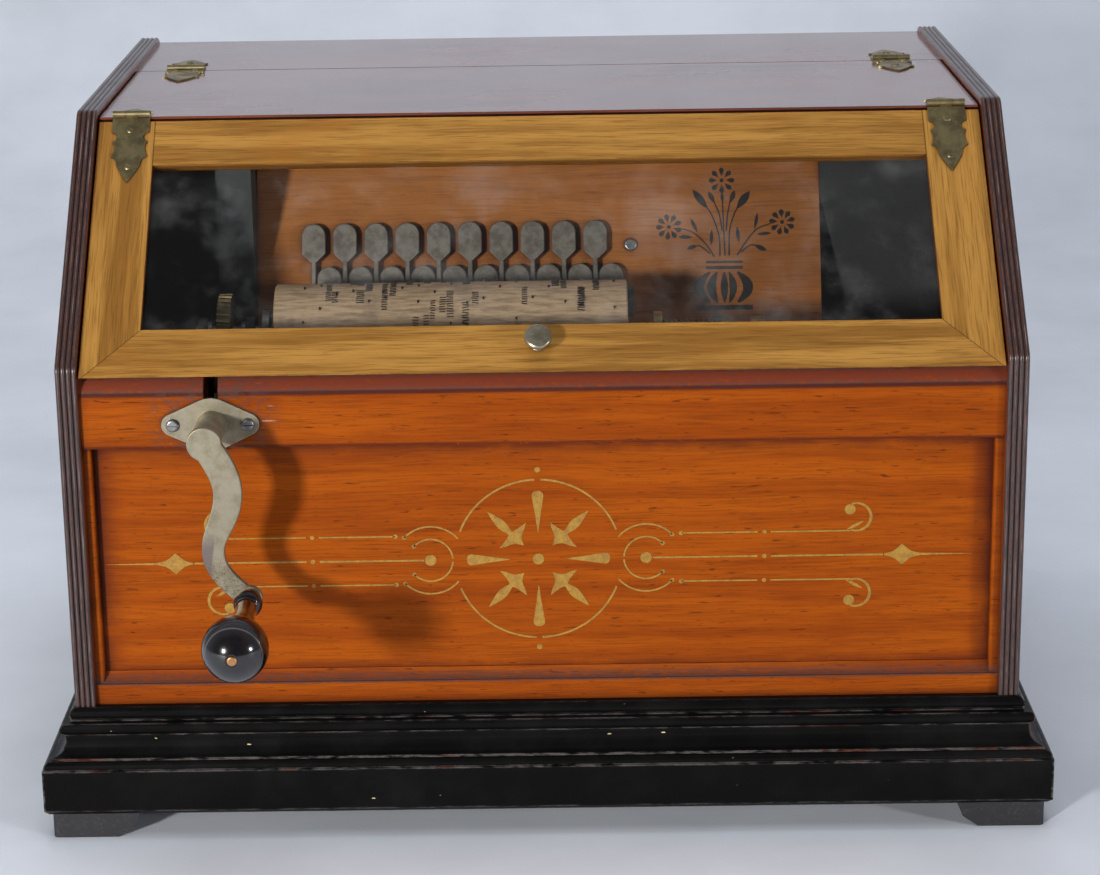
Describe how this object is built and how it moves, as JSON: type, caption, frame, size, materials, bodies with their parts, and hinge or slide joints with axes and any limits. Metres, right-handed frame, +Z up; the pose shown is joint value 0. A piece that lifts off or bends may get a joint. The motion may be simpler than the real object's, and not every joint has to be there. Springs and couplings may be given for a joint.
{
  "type": "hand crank music box",
  "caption": "Hand-cranked table roller organ: pinned wooden roller, pallet keys and bellows in a reeded wooden case with a sloping glazed door and moulded black base.",
  "frame": {"origin": "on the floor, under the middle of the whole box (from the front of the crank's handle to the back of the base)", "axes": "+X to the right seen from the front, +Y to the back, +Z up"},
  "size_m": [0.4566, 0.4326, 0.3155],
  "materials": {
    "black_paint": "satin black paint on wood, chipped",
    "black_feet": "flat black paint",
    "softwood": "plain pine, unfinished",
    "reeded_sides": "stained wood, worn on the reeds",
    "varnished_front": "orange varnish with gold stencil",
    "varnished_rails": "orange varnish",
    "dark_wood": "dark stain",
    "top_wood": "dark red varnish, glossy",
    "pallet_wood": "warm brown varnish with black stencil",
    "black_paint_flat": "flat black paint on wood",
    "reed_brass": "brass",
    "steel": "plain steel",
    "cast_iron_grey": "black japanned casting",
    "spring_brass": "hard brass wire",
    "nickel_plate": "worn nickel plate",
    "hinge_brass": "tarnished brass",
    "ebonised_handle": "gloss ebonised turning",
    "rivet_brass": "copper-toned rivet",
    "gear_brass": "brass",
    "cob_wood": "bare aged wood",
    "pin_steel": "dark steel pins",
    "spindle_brass": "brass",
    "door_wood": "yellow ochre varnish",
    "clear_glass": "clear glass",
    "knob_nickel": "nickel plated knob",
    "bellows_cloth": "rubber cloth",
    "key_steel": "dull grey plated steel"
  },
  "bodies": {
    "case": {"base_mouldings": "black_paint", "base_board": "softwood", "feet": "black_feet", "side_board_left": "reeded_sides", "side_board_right": "reeded_sides", "front_panel": "varnished_front", "front_rails": "varnished_rails", "back_panel": "dark_wood", "top_rear_strip": "top_wood", "mechanism_deck": "softwood", "pallet_board": "pallet_wood", "wind_chest": "black_paint_flat", "reeds": "reed_brass", "key_pivot_rod": "steel", "bearing_brackets": "cast_iron_grey", "key_springs": "spring_brass", "crank_plate": "nickel_plate", "case_screws": "steel", "strip_hinge_leaves": "hinge_brass", "tail_spring": "steel", "feeder_cloth": "bellows_cloth", "reservoir_cloth": "bellows_cloth"},
    "crank": {"crank_shaft": "steel", "crank_arm": "nickel_plate", "handle_rivet": "rivet_brass"},
    "handle": {"crank_handle": "ebonised_handle"},
    "rod": {"connecting_rod": "steel"},
    "arbor": {"drive_arbor": "steel", "cob_gear": "gear_brass"},
    "cob": {"cob": "cob_wood", "cob_pins": "pin_steel"},
    "tail": {"tail_spindle": "spindle_brass"},
    "lid": {"lid_board": "top_wood", "lid_hinge_leaves": "hinge_brass"},
    "door": {"glass_frame": "door_wood", "glass_pane": "clear_glass", "door_hinge_leaves": "hinge_brass", "door_knob": "knob_nickel"},
    "feeder": {"feeder_board": "softwood"},
    "reservoir": {"reservoir_board": "softwood"},
    "key_01": {"key_01": "key_steel"},
    "key_02": {"key_02": "key_steel"},
    "key_03": {"key_03": "key_steel"},
    "key_04": {"key_04": "key_steel"},
    "key_05": {"key_05": "key_steel"},
    "key_06": {"key_06": "key_steel"},
    "key_07": {"key_07": "key_steel"},
    "key_08": {"key_08": "key_steel"},
    "key_09": {"key_09": "key_steel"},
    "key_10": {"key_10": "key_steel"},
    "key_11": {"key_11": "key_steel"},
    "key_12": {"key_12": "key_steel"},
    "key_13": {"key_13": "key_steel"},
    "key_14": {"key_14": "key_steel"},
    "key_15": {"key_15": "key_steel"},
    "key_16": {"key_16": "key_steel"},
    "key_17": {"key_17": "key_steel"},
    "key_18": {"key_18": "key_steel"},
    "key_19": {"key_19": "key_steel"},
    "key_20": {"key_20": "key_steel"}
  },
  "joints": [
    {"name": "crank_turn", "type": "hinge", "parent": "case", "child": "crank", "pos_m": [-0.1462, -0.04105, 0.1916], "axis": [0, 1, 0], "continuous": true},
    {"name": "handle_spin", "type": "hinge", "parent": "crank", "child": "handle", "pos_m": [-0.1294, -0.17605, 0.1205], "axis": [0, 1, 0], "continuous": true},
    {"name": "rod_swing", "type": "hinge", "parent": "crank", "child": "rod", "pos_m": [-0.1462, 0.06195, 0.1826], "axis": [0, 1, 0], "continuous": true},
    {"name": "arbor_turn", "type": "hinge", "parent": "case", "child": "arbor", "pos_m": [-0.1462, -0.04105, 0.214], "axis": [1, 0, 0], "continuous": true},
    {"name": "cob_shift", "type": "slide", "parent": "arbor", "child": "cob", "axis": [1, 0, 0], "range_m": [0, 0.005]},
    {"name": "tail_pull", "type": "slide", "parent": "case", "child": "tail", "axis": [1, 0, 0], "range_m": [0, 0.012], "deforming": ["tail_spring"]},
    {"name": "lid_open", "type": "hinge", "parent": "case", "child": "lid", "pos_m": [0, 0.10695, 0.3136], "axis": [-1, 0, 0], "range_deg": [0, 100]},
    {"name": "door_open", "type": "hinge", "parent": "lid", "child": "door", "pos_m": [0, -0.01897, 0.3136], "axis": [-1, 0, 0], "range_deg": [0, 180]},
    {"name": "feeder_close", "type": "hinge", "parent": "case", "child": "feeder", "pos_m": [0.02, 0.10395, 0.159], "axis": [0, 1, 0], "range_deg": [0, 6.2], "deforming": ["feeder_cloth"]},
    {"name": "reservoir_close", "type": "slide", "parent": "case", "child": "reservoir", "axis": [0, 0, 1], "range_m": [0, 0.02], "deforming": ["reservoir_cloth"]},
    {"name": "key_01_lift", "type": "hinge", "parent": "case", "child": "key_01", "pos_m": [-0.1088, -0.00904, 0.22096], "axis": [1, 0, 0], "range_deg": [0, 6]},
    {"name": "key_02_lift", "type": "hinge", "parent": "case", "child": "key_02", "pos_m": [-0.1013, -0.00904, 0.22096], "axis": [1, 0, 0], "range_deg": [0, 6]},
    {"name": "key_03_lift", "type": "hinge", "parent": "case", "child": "key_03", "pos_m": [-0.0938, -0.00904, 0.22096], "axis": [1, 0, 0], "range_deg": [0, 6]},
    {"name": "key_04_lift", "type": "hinge", "parent": "case", "child": "key_04", "pos_m": [-0.0863, -0.00904, 0.22096], "axis": [1, 0, 0], "range_deg": [0, 6]},
    {"name": "key_05_lift", "type": "hinge", "parent": "case", "child": "key_05", "pos_m": [-0.0788, -0.00904, 0.22096], "axis": [1, 0, 0], "range_deg": [0, 6]},
    {"name": "key_06_lift", "type": "hinge", "parent": "case", "child": "key_06", "pos_m": [-0.0713, -0.00904, 0.22096], "axis": [1, 0, 0], "range_deg": [0, 6]},
    {"name": "key_07_lift", "type": "hinge", "parent": "case", "child": "key_07", "pos_m": [-0.0638, -0.00904, 0.22096], "axis": [1, 0, 0], "range_deg": [0, 6]},
    {"name": "key_08_lift", "type": "hinge", "parent": "case", "child": "key_08", "pos_m": [-0.0563, -0.00904, 0.22096], "axis": [1, 0, 0], "range_deg": [0, 6]},
    {"name": "key_09_lift", "type": "hinge", "parent": "case", "child": "key_09", "pos_m": [-0.0488, -0.00904, 0.22096], "axis": [1, 0, 0], "range_deg": [0, 6]},
    {"name": "key_10_lift", "type": "hinge", "parent": "case", "child": "key_10", "pos_m": [-0.0413, -0.00904, 0.22096], "axis": [1, 0, 0], "range_deg": [0, 6]},
    {"name": "key_11_lift", "type": "hinge", "parent": "case", "child": "key_11", "pos_m": [-0.0338, -0.00904, 0.22096], "axis": [1, 0, 0], "range_deg": [0, 6]},
    {"name": "key_12_lift", "type": "hinge", "parent": "case", "child": "key_12", "pos_m": [-0.0263, -0.00904, 0.22096], "axis": [1, 0, 0], "range_deg": [0, 6]},
    {"name": "key_13_lift", "type": "hinge", "parent": "case", "child": "key_13", "pos_m": [-0.0188, -0.00904, 0.22096], "axis": [1, 0, 0], "range_deg": [0, 6]},
    {"name": "key_14_lift", "type": "hinge", "parent": "case", "child": "key_14", "pos_m": [-0.0113, -0.00904, 0.22096], "axis": [1, 0, 0], "range_deg": [0, 6]},
    {"name": "key_15_lift", "type": "hinge", "parent": "case", "child": "key_15", "pos_m": [-0.0038, -0.00904, 0.22096], "axis": [1, 0, 0], "range_deg": [0, 6]},
    {"name": "key_16_lift", "type": "hinge", "parent": "case", "child": "key_16", "pos_m": [0.0037, -0.00904, 0.22096], "axis": [1, 0, 0], "range_deg": [0, 6]},
    {"name": "key_17_lift", "type": "hinge", "parent": "case", "child": "key_17", "pos_m": [0.0112, -0.00904, 0.22096], "axis": [1, 0, 0], "range_deg": [0, 6]},
    {"name": "key_18_lift", "type": "hinge", "parent": "case", "child": "key_18", "pos_m": [0.0187, -0.00904, 0.22096], "axis": [1, 0, 0], "range_deg": [0, 6]},
    {"name": "key_19_lift", "type": "hinge", "parent": "case", "child": "key_19", "pos_m": [0.0262, -0.00904, 0.22096], "axis": [1, 0, 0], "range_deg": [0, 6]},
    {"name": "key_20_lift", "type": "hinge", "parent": "case", "child": "key_20", "pos_m": [0.0337, -0.00904, 0.22096], "axis": [1, 0, 0], "range_deg": [0, 6]}
  ],
  "couplings": [
    {"joint": "rod_swing", "follows": "crank_turn", "ratio": -1},
    {"joint": "arbor_turn", "follows": "crank_turn", "ratio": -0.029412}
  ]
}
